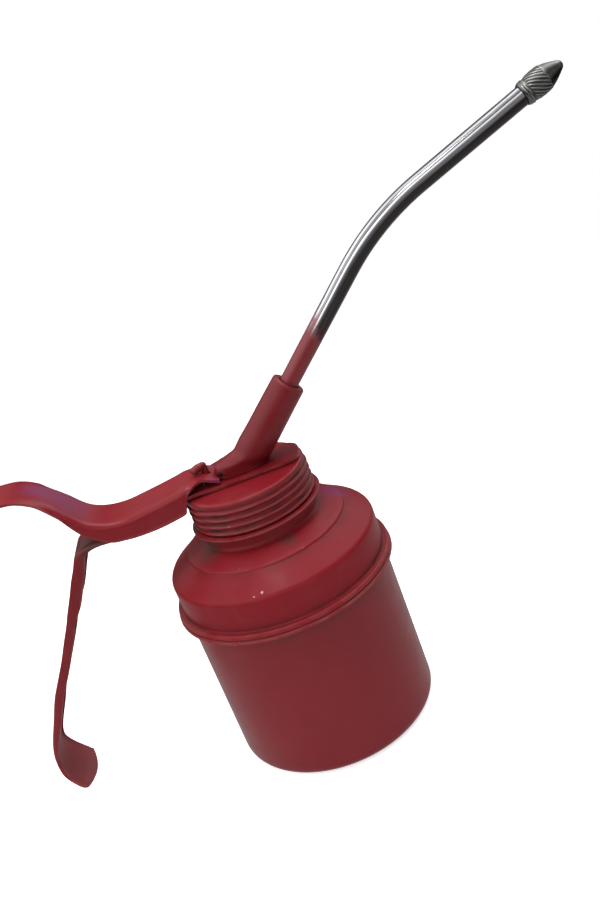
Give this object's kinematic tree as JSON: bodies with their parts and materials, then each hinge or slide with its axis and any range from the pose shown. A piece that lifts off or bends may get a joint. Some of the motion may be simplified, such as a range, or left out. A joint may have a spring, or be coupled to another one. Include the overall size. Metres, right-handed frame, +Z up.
{
  "type": "pump oil can",
  "caption": "Round sheet-metal oil can with a screw cap, thumb-lever pump, curved handle and long angled spout with a turned nozzle.",
  "frame": {"origin": "centre of the can's flat base, on the surface it stands on", "axes": "+Z up along the can's axis, +X towards the spout's tip, so the lever and the handle are on the -X side; +Y completes the right-handed frame"},
  "size_m": [0.2807, 0.0928, 0.2257],
  "materials": {
    "red_paint": "worn satin red paint over sheet steel",
    "chromed_brass": "bright plated tube and nozzle",
    "bright_steel": "plain bright steel",
    "brass": "drawn brass",
    "spring_steel": "spring wire",
    "black_rubber": "matt black seal rubber",
    "cup_leather": "oiled pump leather"
  },
  "bodies": {
    "can": {"can_body": "red_paint", "can_shoulder": "red_paint"},
    "gasket": {"cap_gasket": "black_rubber"},
    "head": {"cap": "red_paint", "handle_strap": "red_paint", "spout_socket": "red_paint", "stem_washer": "bright_steel", "stem_nut": "bright_steel", "spout_tube": "chromed_brass", "lever_pin": "bright_steel", "pump_barrel": "brass", "rod_packing": "cup_leather", "packing_ring": "brass", "return_spring": "spring_steel", "foot_valve": "brass", "ball_retainer": "brass", "riser_tube": "brass", "outlet_valve": "brass", "outlet_spring": "spring_steel", "suction_tube": "brass", "strainer": "brass"},
    "lever": {"thumb_lever": "red_paint"},
    "plunger": {"plunger_rod": "bright_steel", "piston_disc": "brass", "piston_cup": "cup_leather", "piston_washer": "bright_steel", "piston_nut": "bright_steel"},
    "inlet_check": {"inlet_ball": "bright_steel"},
    "outlet_check": {"outlet_ball": "bright_steel"},
    "seal": {"nozzle_seal": "black_rubber"},
    "nozzle": {"spout_nozzle": "chromed_brass"}
  },
  "joints": [
    {"name": "cap_rise", "type": "slide", "parent": "can", "child": "gasket", "axis": [0, 0, 1], "range_m": [0, 0.0092]},
    {"name": "head_turn", "type": "hinge", "parent": "gasket", "child": "head", "pos_m": [0, 0, 0.118], "axis": [0, 0, 1], "range_deg": [0, 1080]},
    {"name": "lever_pivot", "type": "hinge", "parent": "head", "child": "lever", "pos_m": [-0.008, 0, 0.12387], "axis": [0, -1, 0], "range_deg": [0, 5.5], "stiffness_Nm_per_rad": 1, "springref_deg": -17.19},
    {"name": "plunger_slide", "type": "slide", "parent": "head", "child": "plunger", "axis": [0, 0, -1], "range_m": [0, 0.00056], "deforming": ["return_spring"]},
    {"name": "inlet_ball_lift", "type": "slide", "parent": "head", "child": "inlet_check", "axis": [0, 0, 1], "range_m": [0, 0.0012]},
    {"name": "outlet_ball_lift", "type": "slide", "parent": "head", "child": "outlet_check", "axis": [0, 0, 1], "range_m": [0, 0.001], "stiffness_N_per_m": 60, "springref_m": -0.002, "deforming": ["outlet_spring"]},
    {"name": "nozzle_advance", "type": "slide", "parent": "head", "child": "seal", "axis": [0.9403, 0, 0.3404], "range_m": [0, 0.003]},
    {"name": "nozzle_turn", "type": "hinge", "parent": "seal", "child": "nozzle", "pos_m": [0.14191, 0, 0.21719], "axis": [0.9403, 0, 0.3404], "range_deg": [0, 1085]}
  ],
  "couplings": [
    {"joint": "cap_rise", "follows": "head_turn", "m_per_rad": 0.00048224},
    {"joint": "plunger_slide", "follows": "lever_pivot", "m_per_rad": 0.0054},
    {"joint": "nozzle_turn", "follows": "nozzle_advance", "rad_per_m": 6283.2}
  ]
}
